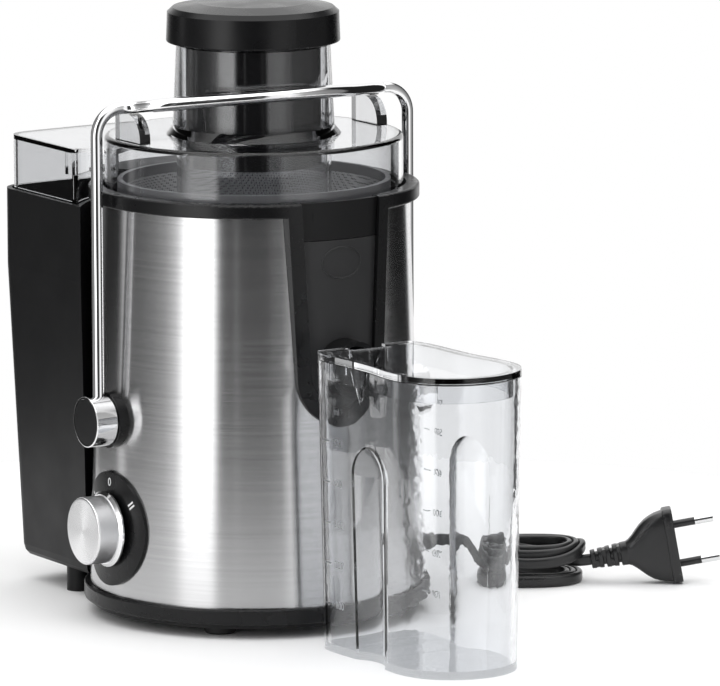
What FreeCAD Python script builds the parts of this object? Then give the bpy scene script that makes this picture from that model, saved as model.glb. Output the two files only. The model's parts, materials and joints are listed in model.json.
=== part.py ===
import FreeCAD
import Part
import math
import os
import Sketcher
from FreeCAD import Placement, Rotation, Vector

# Centrifugal juicer, millimetres.  +Z is up and the floor is Z = 0.  The origin lies under
# the axis of the round body.  The speed knob faces -Y, the spout and the jug +X, the pulp
# container -X, and the mains lead leaves at the back, +Y.

SIZES = [
    # round body
    ("plate_low", 4.4, "underside of the base plate"),
    ("plate_step", 6.6, "height of the plate's step, where the ring begins"),
    ("plate_top", 9.0, "top of the base plate"),
    ("plate_r", 75.5, "base plate, outer radius"),
    ("ring_r", 79.0, "base ring, outer radius"),
    ("ring_bore", 69.9, "base ring, inner radius"),
    ("ring_seat", 11.0, "ledge in the ring that the walls stand on"),
    ("ring_top", 13.8, "top of the base ring"),
    ("foot_r", 7.1, "rubber foot, radius"),
    ("foot_pcd", 61.6, "feet, distance from the axis"),
    ("skin_low_r", 76.3, "steel skin, outer radius at the ledge"),
    ("skin_top_r", 71.0, "steel skin, outer radius at the top"),
    ("skin_top", 190.8, "top of the steel skin"),
    ("skin_wall", 0.6, "steel skin, thickness"),
    ("house_gap", 0.1, "air between the skin and the housing"),
    ("house_wall", 2.4, "inner housing, wall"),
    ("deck_r", 70.4, "inner housing, inner radius at the deck"),
    ("deck_low", 104.0, "motor deck, underside"),
    ("deck_top", 107.0, "motor deck, top"),
    ("deck_hole", 13.0, "hole in the deck for the drive"),
    ("rim_r", 75.5, "top rim, outer radius"),
    ("rim_bore", 69.4, "top rim, inner radius"),
    ("rim_low", 191.0, "top rim, underside"),
    ("rim_top", 197.5, "top rim, top"),
    # spout side
    ("spout_turn", 3.0, "spout side, turned about the axis from +X, degrees"),
    ("frame_half_top", 27.0, "spout surround, half width at the rim"),
    ("frame_half_low", 23.0, "spout surround, half width where its round end begins"),
    ("frame_centre", 118.0, "height of the centre of the surround's round end"),
    ("apron_half_top", 20.7, "spout panel, half width at the rim"),
    ("apron_half_low", 16.6, "spout panel, half width where its round end begins"),
    ("apron_centre", 120.0, "height of the centre of the panel's round end"),
    ("apron_r", 73.4, "spout panel, outer radius"),
    ("apron_wall", 2.4, "spout panel, wall"),
    ("seam_z", 179.8, "seam between the bowl's apron and the panel"),
    ("spout_z", 122.0, "height of the spout's centre"),
    ("spout_r", 12.8, "spout, outer radius"),
    ("spout_bore", 10.6, "spout, inner radius"),
    ("spout_end", 84.0, "distance of the spout's mouth from the axis"),
    # bowl and lid
    ("bowl_r", 66.8, "juice bowl, outer radius"),
    ("bowl_wall", 2.2, "juice bowl, wall"),
    ("bowl_low", 110.0, "juice bowl, underside"),
    ("bowl_flange_r", 69.2, "juice bowl, flange radius"),
    ("bowl_top", 193.0, "juice bowl, top of the flange"),
    ("turret_low_r", 33.0, "bowl's centre tower, radius at the floor"),
    ("turret_top_r", 31.0, "bowl's centre tower, radius at the top"),
    ("turret_top", 140.0, "bowl's centre tower, top"),
    ("turret_hole", 11.0, "hole in the top of the tower"),
    ("chute_low", 197.7, "pulp chute, underside"),
    ("chute_top", 199.4, "pulp chute, top"),
    ("lid_r", 68.2, "lid, outer radius"),
    ("lid_wall", 2.2, "lid, wall"),
    ("lid_low", 193.2, "lid, lower edge"),
    ("lid_top", 220.0, "lid, top of the plate"),
    ("tube_top", 261.0, "feed tube, top"),
    ("tube_low", 186.0, "feed tube, lower end"),
    ("tube_top_r", 35.2, "feed tube, outer radius at the top"),
    ("tube_low_r", 36.9, "feed tube, outer radius above the plate"),
    ("tube_bore", 33.0, "feed tube, inner radius"),
    ("hood_top", 210.0, "hood over the pulp container, top"),
    ("hood_low", 185.6, "hood over the pulp container, lower edge"),
    ("hood_inset", 3.3, "hood, set in from the container's outline"),
    ("lug_y", 59.2, "locking lug, inner face from the middle"),
    ("lug_thick", 5.4, "locking lug, thickness"),
    ("lug_top", 232.9, "locking lug, top"),
    ("lug_back", 13.0, "locking lug, reach towards -X"),
    ("lug_front", 10.0, "locking lug, reach towards +X"),
    ("lug_round", 11.5, "locking lug, radius of its rounded corner"),
    # pusher
    ("pusher_r", 31.0, "pusher, radius"),
    ("pusher_low", 206.0, "pusher, lower end"),
    ("pusher_wall", 2.0, "pusher, wall"),
    ("cap_low", 262.3, "pusher cap, underside"),
    ("cap_edge", 275.9, "pusher cap, height of its upper edge"),
    ("cap_top", 281.0, "pusher cap, top of the dome"),
    ("cap_low_r", 39.7, "pusher cap, lower radius"),
    ("cap_edge_r", 39.2, "pusher cap, radius of its upper edge"),
    # bail
    ("pivot_z", 94.0, "height of the bail's pivots"),
    ("wire_r", 2.7, "bail wire, radius"),
    ("leg_y", 81.4, "bail legs, distance from the middle"),
    ("bail_bend", 12.0, "bail, radius of the upper corners"),
    ("bar_z", 236.0, "bail bar, height at its ends"),
    ("bar_rise", 6.5, "bail bar, how much higher its middle is"),
    ("bar_bow", 41.5, "bail bar, how far its middle stands out towards +X"),
    ("grip_half", 58.0, "bail grip, half length across the machine"),
    ("button_r", 11.6, "pivot button, radius"),
    ("button_in", 77.9, "pivot button, inner face from the middle"),
    ("button_out", 88.4, "pivot button, outer face from the middle"),
    ("boss_r", 12.6, "pivot boss, radius"),
    ("boss_out", 77.5, "pivot boss, outer face from the middle"),
    ("pin_r", 4.0, "pivot pin, radius"),
    ("pin_clear", 0.06, "running clearance of pins and shafts"),
    # speed knob
    ("knob_z", 44.0, "height of the knob's axis"),
    ("dial_r", 26.0, "dial plate, radius"),
    ("dial_thick", 1.5, "dial plate, thickness"),
    ("flange_r", 17.3, "knob's chrome flange, radius"),
    ("flange_in", 77.4, "knob's flange, inner face from the middle"),
    ("flange_out", 80.2, "knob's flange, outer face from the middle"),
    ("knob_r", 15.4, "knob, radius"),
    ("knob_out", 90.2, "knob, face from the middle"),
    ("spindle_r", 3.0, "switch spindle, radius"),
    ("spindle_in", 50.0, "switch spindle, inner end from the middle"),
    # motor and drive
    ("shaft_r", 3.0, "motor shaft, radius"),
    ("core_r", 21.0, "rotor core, radius"),
    ("core_low", 40.0, "rotor core, lower end"),
    ("core_top", 75.0, "rotor core, upper end"),
    ("stator_r", 40.0, "stator, outer radius"),
    ("stator_slot_r", 33.0, "stator, radius of the winding space"),
    ("stator_bore", 21.6, "stator, bore"),
    ("coupling_low", 120.0, "drive coupling, lower end"),
    ("coupling_top", 146.0, "drive coupling, top"),
    ("coupling_r", 8.0, "drive coupling, spigot radius"),
    ("basket_low", 147.0, "filter basket, underside of its floor"),
    ("basket_floor_r", 40.0, "filter basket, radius of its floor"),
    ("basket_rim_r", 62.4, "filter basket, radius of its rim"),
    ("basket_rim_low", 194.5, "filter basket, underside of its rim"),
    ("basket_top", 200.0, "filter basket, top"),
    # pulp container
    ("bin_half", 66.0, "pulp container, half width"),
    ("bin_end", 113.0, "pulp container, reach of its straight sides towards -X"),
    ("bin_corner", 14.0, "pulp container, corner radius"),
    ("bin_end_r", 350.0, "pulp container, radius of its end face"),
    ("bin_hollow_r", 79.8, "pulp container, radius of the face round the body"),
    ("bin_wall", 2.2, "pulp container, wall"),
    ("bin_low", 11.0, "pulp container, underside"),
    ("bin_knee", 150.0, "height where the draft of the pulp container begins"),
    ("bin_top", 185.2, "pulp container, rim"),
    ("bin_draft", 6.2, "pulp container, how far the draft sets the bottom in"),
    ("bin_foot_r", 5.6, "pulp container, foot radius"),
    # jug
    ("jug_x", 94.0, "jug, flat end from the axis"),
    ("jug_y", 2.4, "jug, middle of its flat end"),
    ("jug_turn", 2.5, "jug, turned about the vertical, degrees"),
    ("jug_length", 102.6, "jug, length"),
    ("jug_half_near", 27.9, "jug, half width behind the flat end"),
    ("jug_half_far", 31.2, "jug, half width at the far end"),
    ("jug_wall", 2.2, "jug, wall"),
    ("jug_draft", 2.0, "jug, how far the draft sets the bottom in"),
    ("jug_top", 131.2, "jug, rim"),
    ("jug_floor", 3.4, "jug, thickness of its floor"),
    ("grip_depth", 6.5, "jug, depth of the finger hollows"),
    ("grip_x", 46.0, "jug, place of the finger hollows"),
    ("grip_r", 20.0, "jug, radius of the finger hollows"),
    ("grip_top", 96.0, "jug, top of the finger hollows"),
    ("lip_z", 131.6, "jug lid, underside of its plate"),
    ("lip_top", 134.6, "jug lid, top"),
    ("lip_skirt", 123.0, "jug lid, lower edge of its skirt"),
    # mains lead
    ("lead_r", 2.7, "mains lead, half width"),
    ("gland_z", 22.0, "height of the lead's outlet"),
    ("gland_end", 93.0, "end of the strain relief from the middle"),
    ("hank_long", 56.0, "hank of the lead, length"),
    ("hank_wide", 42.0, "hank of the lead, width"),
    ("hank_high", 20.0, "hank of the lead, height"),
]

size = {name: value for name, value, note in SIZES}
doc = FreeCAD.newDocument("juicer")
sheet = doc.addObject("Spreadsheet::Sheet", "Dims")
for row, (name, value, note) in enumerate(SIZES, 1):
    sheet.set(f"A{row}", name)
    sheet.set(f"B{row}", str(value))
    sheet.setAlias(f"B{row}", name)
    sheet.set(f"C{row}", note)
doc.recompute()

nodes = []
OUT_FRONT = Rotation(Vector(1, 0, 0), 90)
OUT_BACK = Rotation(Vector(1, 0, 0), -90)
OUT_RIGHT = Rotation(Vector(0, 1, 0), 90)
UPRIGHT = Rotation()


# ---- values and expressions -------------------------------------------------------------

def atom(word):
    """Value of one word: a name of the sheet, with or without a minus sign, or a number."""
    if word.lstrip("-") in size:
        return size[word.lstrip("-")] * (-1 if word.startswith("-") else 1)
    return float(word)


def number(text):
    """Value of a sum of products such as 'rim_r - bowl_wall * 2'."""
    words = str(text).split()
    total = 0.0
    sign = 1
    product = atom(words[0])
    for operator, word in zip(words[1::2], words[2::2]):
        if operator == "*":
            product *= atom(word)
        elif operator == "/":
            product /= atom(word)
        else:
            total += sign * product
            sign = 1 if operator == "+" else -1
            product = atom(word)
    return total + sign * product


def formula(text):
    """The same sum as an expression of the document."""
    words = []
    for word in str(text).split():
        bare = word.lstrip("-")
        minus = "-" if word.startswith("-") else ""
        words.append(f"{minus}<<Dims>>.{bare}" if bare in size else word)
    return " ".join(words)


def opposite(text):
    """The sum with every sign turned."""
    signs = {"+": "-", "-": "+"}
    return "-" + " ".join(signs.get(word, word) for word in str(text).split())


def bind(thing, **values):
    for name, text in values.items():
        thing.setExpression(name, formula(text))


def place(thing, x=0, y=0, z=0, turn=UPRIGHT):
    """Puts an object down, its position bound to the sheet."""
    thing.Placement = Placement(Vector(number(x), number(y), number(z)), turn)
    for axis, text in (("x", x), ("y", y), ("z", z)):
        if text != 0:
            thing.setExpression(f"Placement.Base.{axis}", formula(text))
    return thing


def node(thing, label):
    """Names a finished sub-part."""
    thing.Label = label
    nodes.append(thing)
    return thing


# ---- sketches and bodies ----------------------------------------------------------------

def origin_part(body, role):
    """Plane or axis of the body's origin, by its role."""
    return next(part for part in body.Origin.OriginFeatures if part.Role == role)


def new_sketch(body, role="XZ_Plane", offset=0, twist=0):
    sketch = body.newObject("Sketcher::SketchObject", body.Name + "_sketch")
    sketch.AttachmentSupport = (origin_part(body, role), "")
    sketch.MapMode = "FlatFace"
    sketch.AttachmentOffset = Placement(Vector(0, 0, number(offset)), Rotation(Vector(0, 1, 0), twist))
    if offset != 0:
        sketch.setExpression("AttachmentOffset.Base.z", formula(offset))
    return sketch


def polygon(sketch, corners):
    """Closed outline of straight lines, with every corner held by the sheet."""
    first = sketch.GeometryCount
    points = [Vector(number(x), number(y), 0) for x, y in corners]
    for here, there in zip(points, points[1:] + points[:1]):
        sketch.addGeometry(Part.LineSegment(here, there))
    for index, (x, y) in enumerate(corners):
        line = first + index
        following = first + (index + 1) % len(corners)
        sketch.addConstraint(Sketcher.Constraint("Coincident", line, 2, following, 1))
        for kind, text, axis in (("DistanceX", x, -2), ("DistanceY", y, -1)):
            value = number(text)
            if value == 0:
                sketch.addConstraint(Sketcher.Constraint("PointOnObject", line, 1, axis))
                continue
            held = sketch.addConstraint(Sketcher.Constraint(kind, -1, 1, line, 1, value))
            sketch.setExpression(f"Constraints[{held}]", formula(text))


def turned(label, corners, bevels=(), angle=360):
    """Body turned about Z from corners given as (radius, height).

    bevels lists (radius, height, size) of circular edges to round."""
    body = doc.addObject("PartDesign::Body", label)
    sketch = new_sketch(body)
    polygon(sketch, corners)
    spin = body.newObject("PartDesign::Revolution", label + "_turning")
    spin.Profile = sketch
    spin.ReferenceAxis = (sketch, ["V_Axis"])
    spin.Angle = angle
    if bevels:
        doc.recompute()
        for radius, height, amount in bevels:
            round_edges(body, label, lambda edge: is_ring(edge, number(radius), number(height)), amount)
    return body


def is_ring(edge, radius, height):
    """True for an edge that circles Z at this radius and height."""
    if not isinstance(edge.Curve, Part.Circle):
        return False
    centre = edge.Curve.Center
    near = abs(edge.Curve.Radius - radius) < 0.02 and abs(centre.z - height) < 0.02
    return near and math.hypot(centre.x, centre.y) < 0.02


def round_edges(body, label, wanted, amount):
    """Rounds the edges of the body's tip that the test picks."""
    tip = body.Tip
    picked = [f"Edge{n}" for n, edge in enumerate(tip.Shape.Edges, 1) if wanted(edge)]
    fillet = body.newObject("PartDesign::Fillet", label + "_fillet")
    fillet.Base = (tip, picked)
    fillet.Radius = amount
    doc.recompute()


def padded(label, role, offset, length, draw, twist=0):
    """Body padded from the outlines that draw() puts in a sketch."""
    body = doc.addObject("PartDesign::Body", label)
    sketch = new_sketch(body, role, offset, twist)
    draw(sketch)
    pad = body.newObject("PartDesign::Pad", body.Name + "_pad")
    pad.Profile = sketch
    bind(pad, Length=length)
    return body


# ---- primitives and booleans --------------------------------------------------------------

def cylinder(radius, height, x=0, y=0, z=0, turn=UPRIGHT):
    thing = doc.addObject("Part::Cylinder", "round")
    bind(thing, Radius=radius, Height=height)
    return place(thing, x, y, z, turn)


def cone(low, top, height, x=0, y=0, z=0, turn=UPRIGHT):
    thing = doc.addObject("Part::Cone", "taper")
    bind(thing, Radius1=low, Radius2=top, Height=height)
    return place(thing, x, y, z, turn)


def box(length, width, height, x, y, z, turn=UPRIGHT):
    """Block with its centre over (x, y) and its underside at z."""
    thing = doc.addObject("Part::Box", "block")
    bind(thing, Length=length, Width=width, Height=height)
    return place(thing, f"{x} - {length} / 2", f"{y} - {width} / 2", z, turn)


def spoke(angle, start, length, width, low, height):
    """Block that points away from the axis at this angle, with its underside at low."""
    thing = doc.addObject("Part::Box", "spoke")
    bind(thing, Length=length, Width=width, Height=height)
    turn = Rotation(Vector(0, 0, 1), angle)
    corner = turn.multVec(Vector(start, -number(width) / 2, number(low)))
    thing.Placement = Placement(corner, turn)
    return thing


def cut(base, *tools):
    for tool in tools:
        result = doc.addObject("Part::Cut", "trimmed")
        result.Base = base
        result.Tool = tool
        base = result
    return base


def fuse(*pieces):
    result = doc.addObject("Part::MultiFuse", "joined")
    result.Shapes = list(pieces)
    return result


def common(*pieces):
    result = doc.addObject("Part::MultiCommon", "overlap")
    result.Shapes = list(pieces)
    return result


def group(pieces):
    """Separate solids kept in one sub-part."""
    result = doc.addObject("Part::Compound", "set")
    result.Links = list(pieces)
    return result


def tube(outer, inner, height, x=0, y=0, z=0, turn=UPRIGHT):
    return cut(cylinder(outer, height, x, y, z, turn), cylinder(inner, height, x, y, z, turn))


def shaped(label, shape):
    """Sub-part whose shape is worked out here from the sheet's values."""
    thing = doc.addObject("Part::Feature", label)
    thing.Shape = shape
    return thing


def around(count, radius, start=0.0):
    """Places evenly spaced on a circle about the axis."""
    for step in range(count):
        angle = math.radians(start + 360.0 * step / count)
        yield round(radius * math.cos(angle), 4), round(radius * math.sin(angle), 4)


# ---- base, skin and housing -----------------------------------------------------------------

def base():
    plate = turned("plate_blank", [
        (0, "plate_low"), ("plate_r", "plate_low"), ("plate_r", "plate_step - 0.1"),
        ("ring_bore - 0.1", "plate_step - 0.1"), ("ring_bore - 0.1", "plate_top"), (0, "plate_top"),
    ])
    outline = new_sketch(plate, "XY_Plane")
    polygon(outline, [(24, -1.6), (44, -1.6), (44, 1.6), (24, 1.6)])
    slot = plate.newObject("PartDesign::Pocket", "vent")
    slot.Profile = outline
    slot.Reversed = True
    bind(slot, Length="plate_top + 1")
    vents = plate.newObject("PartDesign::PolarPattern", "vents")
    vents.Originals = [slot]
    vents.Axis = (origin_part(plate, "Z_Axis"), [""])
    vents.Angle = 360
    vents.Occurrences = 12
    plate.Tip = vents
    wells = []
    screws = []
    for x, y in around(4, 64.5, 90.0):
        for pieces in (wells, screws):
            head = cylinder(3.0, 2.4, x, y, "plate_low")
            shank = cylinder(1.5, 13.0, x, y, "plate_low + 2.4")
            pieces.append(fuse(head, shank))
    node(cut(plate, *wells), "base_plate")
    node(group(screws), "base_screws")
    feet = []
    for x, y in around(4, size["foot_pcd"], 45.0):
        sole = cone("foot_r - 0.8", "foot_r", 0.8, x, y, 0)
        pad = cylinder("foot_r", "plate_low - 0.8", x, y, 0.8)
        feet.append(fuse(sole, pad))
    node(group(feet), "feet")
    node(turned("base_ring", [
        ("ring_bore", "plate_step"), ("ring_r", "plate_step"), ("ring_r", "ring_top"),
        ("skin_low_r + 0.2", "ring_top"), ("skin_low_r + 0.2", "ring_seat"), ("ring_bore", "ring_seat"),
    ], [("ring_r", "ring_top", 1.0), ("ring_r", "plate_step", 1.0)]), "base_ring")


def tombstone(sketch, half_top, half_low, centre, top):
    """Upright outline with a round lower end, for the parts on the spout side."""
    corners = [(half_low, centre), (half_top, top), (opposite(half_top), top), (opposite(half_low), centre)]
    points = [Vector(number(x), number(y), 0) for x, y in corners]
    for here, there in zip(points, points[1:]):
        sketch.addGeometry(Part.LineSegment(here, there))
    bottom = Vector(0, number(centre) - number(half_low), 0)
    sketch.addGeometry(Part.Arc(points[3], bottom, points[0]))
    for line in range(2):
        sketch.addConstraint(Sketcher.Constraint("Coincident", line, 2, line + 1, 1))
    sketch.addConstraint(Sketcher.Constraint("Coincident", 2, 2, 3, 1))
    sketch.addConstraint(Sketcher.Constraint("Coincident", 3, 2, 0, 1))
    for line, end, (x, y) in ((0, 1, corners[0]), (1, 1, corners[1]), (2, 1, corners[2]), (2, 2, corners[3])):
        for kind, text in (("DistanceX", x), ("DistanceY", y)):
            held = sketch.addConstraint(Sketcher.Constraint(kind, -1, 1, line, end, number(text)))
            sketch.setExpression(f"Constraints[{held}]", formula(text))
    held = sketch.addConstraint(Sketcher.Constraint("DistanceY", -1, 1, 3, 3, number(centre)))
    sketch.setExpression(f"Constraints[{held}]", formula(centre))


def spout_prism(half_top, half_low, centre):
    """Tombstone pushed outwards on the spout side, up to just above the rim."""
    block = padded("prism", "YZ_Plane", 0, 100, lambda sketch: tombstone(
        sketch, half_top, half_low, centre, "rim_top + 0.5"), twist=size["spout_turn"])
    return cut(block, cylinder(62, 230))


def spout_place(reach):
    """Point on the spout side at this distance from the axis."""
    angle = math.radians(size["spout_turn"])
    return round(reach * math.cos(angle), 4), round(reach * math.sin(angle), 4)


def spout_rod(radius, start, length):
    x, y = spout_place(start)
    turn = Rotation(Vector(0, 0, 1), size["spout_turn"]) * OUT_RIGHT
    return cylinder(radius, length, x, y, "spout_z", turn)


def housing_core():
    """Solid inside the housing's outer surface."""
    low = "skin_low_r - skin_wall - house_gap"
    top = "skin_top_r - skin_wall - house_gap"
    return cone(f"{low} + 0.05", f"{top} + 0.05", "skin_top - ring_seat", 0, 0, "ring_seat")


def shell():
    low = "skin_low_r - skin_wall"
    top = "skin_top_r - skin_wall"
    start = "ring_seat + 0.1"
    blank = turned("skin_blank", [
        ("skin_low_r", start), ("skin_top_r", "skin_top"), (top, "skin_top"), (low, start)])
    window = spout_prism("frame_half_top + 0.1", "frame_half_low + 0.1", "frame_centre")
    holes = [
        cylinder("boss_r + 0.1", 30, 0, -60, "pivot_z", OUT_FRONT),
        cylinder("boss_r + 0.1", 30, 0, 60, "pivot_z", OUT_BACK),
        cylinder(4.2, 30, 0, -60, "knob_z", OUT_FRONT),
        cylinder(6.5, 30, 0, 60, "gland_z", OUT_BACK),
    ]
    node(cut(blank, window, *holes), "steel_skin")

    low = f"{low} - house_gap"
    top = f"{top} - house_gap"
    wall = turned("housing_blank", [
        (low, start), (top, "skin_top"), (f"{top} - house_wall", "skin_top"), ("deck_r", "deck_top"),
        ("deck_hole", "deck_top"), ("deck_hole", "deck_low"), ("deck_r", "deck_low"),
        (f"{low} - house_wall", start),
    ])
    columns = []
    for x, y in around(4, 64.5, 90.0):
        web = spoke(math.degrees(math.atan2(y, x)), 64.5, 10, 3, "ring_seat + 0.2", 10.6)
        columns.append(cut(fuse(cylinder(4.0, 12.6, x, y, "plate_top + 0.2"), web),
                           cylinder(1.5, 13.0, x, y, "plate_low + 2.4")))
    holes = [
        cylinder(6.0, 30, 0, -60, "pivot_z", OUT_FRONT),
        cylinder(6.0, 30, 0, 60, "pivot_z", OUT_BACK),
        cylinder(4.2, 30, 0, -60, "knob_z", OUT_FRONT),
        cylinder(6.5, 30, 0, 60, "gland_z", OUT_BACK),
    ]
    window = spout_prism("apron_half_top + 0.3", "apron_half_low + 0.3", "apron_centre")
    node(cut(fuse(wall, *columns), window, *holes), "inner_housing")


def spout_side():
    ring = turned("rim_blank", [
        ("rim_bore", "rim_low"), ("rim_r", "rim_low"), ("rim_r", "rim_top"), ("rim_bore", "rim_top"),
    ], [("rim_r", "rim_top", 1.3), ("rim_r", "rim_low", 0.8)])
    outer = spout_prism("frame_half_top", "frame_half_low", "frame_centre")
    surround = cut(common(outer, cylinder("rim_r", "rim_low + 2")), housing_core(),
                   cylinder("rim_bore", 20, 0, 0, "rim_low - 1"))
    opening = spout_prism("apron_half_top + 0.15", "apron_half_low + 0.15", "apron_centre")
    node(cut(fuse(ring, surround), opening), "top_rim")

    panel_prism = spout_prism("apron_half_top", "apron_half_low", "apron_centre")
    panel_band = tube("apron_r", "apron_r - apron_wall", "seam_z - 90", 0, 0, 90)
    panel = common(panel_prism, panel_band)
    node(cut(panel, spout_rod("spout_r + 0.15", 60, 30)), "spout_panel")


# ---- bowl, lid and what closes them ---------------------------------------------------------

def bowl():
    bore = "bowl_r - bowl_wall"
    floor = "bowl_low + 2.4"
    vessel = turned("bowl_blank", [
        ("turret_low_r - 2.4", "bowl_low"), ("bowl_r", "bowl_low"), ("bowl_r", "rim_low"),
        ("bowl_flange_r", "rim_low"), ("bowl_flange_r", "bowl_top"), (bore, "bowl_top"), (bore, floor),
        ("turret_low_r", floor), ("turret_top_r", "turret_top"), ("turret_hole", "turret_top"),
        ("turret_hole", "turret_top - 2.4"), ("turret_top_r - 2.4", "turret_top - 2.4"),
    ])
    apron_prism = spout_prism("apron_half_top", "apron_half_low", "apron_centre")
    apron_band = tube("apron_r", "apron_r - apron_wall", "rim_top - seam_z - 0.5", 0, 0, "seam_z + 0.3")
    apron = common(apron_prism, apron_band)
    bridge = spoke(size["spout_turn"], 66, 6, 30, "bowl_top - 4", 4)
    spout = spout_rod("spout_r", 65.4, "spout_end - 65.4")
    node(cut(fuse(vessel, apron, bridge, spout), spout_rod("spout_bore", 60, 40)), "juice_bowl")
    chute = turned("chute_blank", [
        ("bowl_r - 1.6", "chute_low"), (84.0, "chute_low"),
        (84.0, "chute_top"), ("bowl_r - 1.6", "chute_top"),
    ], angle=70)
    node(place(chute, turn=Rotation(Vector(0, 0, 1), 145)), "pulp_chute")
    node(tube("turret_hole", "coupling_r + 0.35", 2.4, 0, 0, "turret_top - 2.4"), "shaft_seal")
    node(tube("lid_r - lid_wall - 0.1", "lid_r - lid_wall - 1.4", 3.0, 0, 0, "bowl_top"), "lid_seal")


def bin_outline(sketch, inset, hollow_r):
    """Outline of the pulp container seen from above, set in by inset."""
    half = size["bin_half"] - inset
    corner = size["bin_corner"] - inset
    end_r = size["bin_end_r"] - inset
    centre = Vector(-size["bin_end"], -(half - corner), 0)
    middle = centre.x + math.sqrt((end_r - corner) ** 2 - centre.y ** 2)
    lean = math.asin(-centre.y / (end_r - corner))
    slope = (math.pi / 2 + lean) / 2
    start = Vector(-math.sqrt(hollow_r ** 2 - half ** 2), -half, 0)
    side = Vector(centre.x, -half, 0)
    turn_mid = centre + Vector(-math.cos(slope), -math.sin(slope), 0) * corner
    turn_end = centre + Vector(-math.cos(lean), -math.sin(lean), 0) * corner
    tip = Vector(middle - end_r, 0, 0)
    flip = [Vector(point.x, -point.y, 0) for point in (start, side, turn_mid, turn_end)]
    sketch.addGeometry(Part.LineSegment(start, side))
    sketch.addGeometry(Part.Arc(side, turn_mid, turn_end))
    sketch.addGeometry(Part.Arc(turn_end, tip, flip[3]))
    sketch.addGeometry(Part.Arc(flip[3], flip[2], flip[1]))
    sketch.addGeometry(Part.LineSegment(flip[1], flip[0]))
    sketch.addGeometry(Part.Arc(flip[0], Vector(-hollow_r, 0, 0), start))


def lug_outline(sketch):
    """Locking lug seen from the side, with a quarter round towards +X."""
    back, front, top = -size["lug_back"], size["lug_front"], size["lug_top"]
    radius, low = size["lug_round"], size["lid_top"]
    shift = radius * (1 - math.sqrt(0.5))
    points = [Vector(front, low, 0), Vector(back, low, 0),
              Vector(back, top, 0), Vector(front - radius, top, 0)]
    last = Vector(front, top - radius, 0)
    for here, there in zip(points, points[1:]):
        sketch.addGeometry(Part.LineSegment(here, there))
    sketch.addGeometry(Part.Arc(points[3], Vector(front - shift, top - shift, 0), last))
    sketch.addGeometry(Part.LineSegment(last, points[0]))


def sector(inner, outer, low, top, spread):
    """Part of a ring on the -X side, spread degrees wide."""
    piece = turned("sector", [(inner, low), (outer, low), (outer, top), (inner, top)], angle=spread)
    return place(piece, turn=Rotation(Vector(0, 0, 1), 180 - spread / 2))


def lid():
    under = "lid_top - lid_wall"
    dome = turned("lid_blank", [
        ("lid_r", "lid_low"), ("lid_r", "lid_top"),
        ("tube_low_r + 3", "lid_top"), ("tube_low_r", "lid_top + 4"),
        ("tube_top_r", "tube_top"), ("tube_bore", "tube_top"), ("tube_bore", "tube_low"),
        ("tube_top_r", "tube_low"), ("tube_top_r", under), ("lid_r - lid_wall", under),
        ("lid_r - lid_wall", "lid_low"),
    ], [("lid_r", "lid_top", 2.0)])
    outer = size["hood_inset"]
    inner = outer + size["lid_wall"]
    hollow = size["bin_hollow_r"]
    hood = padded("hood_block", "XY_Plane", "hood_low", "hood_top - hood_low", lambda sketch: bin_outline(
        sketch, outer, hollow + outer))
    hollow_of_hood = padded("hood_room", "XY_Plane", "hood_low - 1", "hood_top - hood_low - lid_wall + 1",
                            lambda sketch: bin_outline(sketch, inner, hollow + inner))
    bridge = sector("lid_r - 1.5", 85.0, "chute_low", "hood_top", 92)
    passage = sector("lid_r - 8", 90.0, "chute_low - 0.1", "hood_top - lid_wall", 87)
    lug_front = padded("lug", "XZ_Plane", "lug_y", "lug_thick", lug_outline)
    lug_back = padded("lug", "XZ_Plane", "-lug_y - lug_thick", "lug_thick", lug_outline)
    node(cut(dome, passage), "lid")
    node(group([lug_front, lug_back]), "lid_lugs")
    dome_space = cylinder("lid_r", 60, 0, 0, "lid_low - 10")
    node(cut(fuse(hood, bridge), hollow_of_hood, passage, dome_space), "lid_hood")


def pusher():
    node(turned("pusher_body", [
        (0, "pusher_low"), ("pusher_r", "pusher_low"), ("pusher_r", "cap_low"),
        ("pusher_r - pusher_wall", "cap_low"), ("pusher_r - pusher_wall", "pusher_low + 2.4"),
        (0, "pusher_low + 2.4"),
    ], [("pusher_r", "pusher_low", 1.5)]), "pusher_body")
    node(turned("pusher_cap", [
        (0, "cap_low"), ("cap_low_r", "cap_low"), ("cap_edge_r", "cap_edge"),
        ("cap_edge_r - 2.4", "cap_edge + 2.2"), ("cap_edge_r - 14", "cap_top - 0.9"), (0, "cap_top"),
    ], [("cap_low_r", "cap_low", 0.8)]), "pusher_cap")


# ---- bail ---------------------------------------------------------------------------------

def swept(path, section):
    """Solid of a section drawn along a wire."""
    pipe = Part.BRepOffsetAPI.MakePipeShell(path)
    pipe.setFrenetMode(False)
    pipe.add(section)
    pipe.build()
    pipe.makeSolid()
    return pipe.shape()


def bow():
    """Line of the bail's bar, which bows out towards +X round the feed tube."""
    side = size["leg_y"] - size["bail_bend"]
    shares = [(-1.0, 0.0), (-0.86, 0.22), (-0.62, 0.56), (-0.32, 0.87), (0.0, 1.0)]
    shares += [(-reach, out) for reach, out in reversed(shares[:-1])]
    points = [Vector(size["bar_bow"] * out, side * reach, size["bar_z"] + size["bar_rise"] * out)
              for reach, out in shares]
    curve = Part.BSplineCurve()
    curve.interpolate(Points=points, InitialTangent=Vector(0, 1, 0), FinalTangent=Vector(0, 1, 0))
    return curve


def where_y(curve, target):
    """Parameter at which the curve reaches this Y."""
    low, high = curve.FirstParameter, curve.LastParameter
    for step in range(60):
        middle = (low + high) / 2
        if curve.value(middle).y < target:
            low = middle
        else:
            high = middle
    return (low + high) / 2


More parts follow.
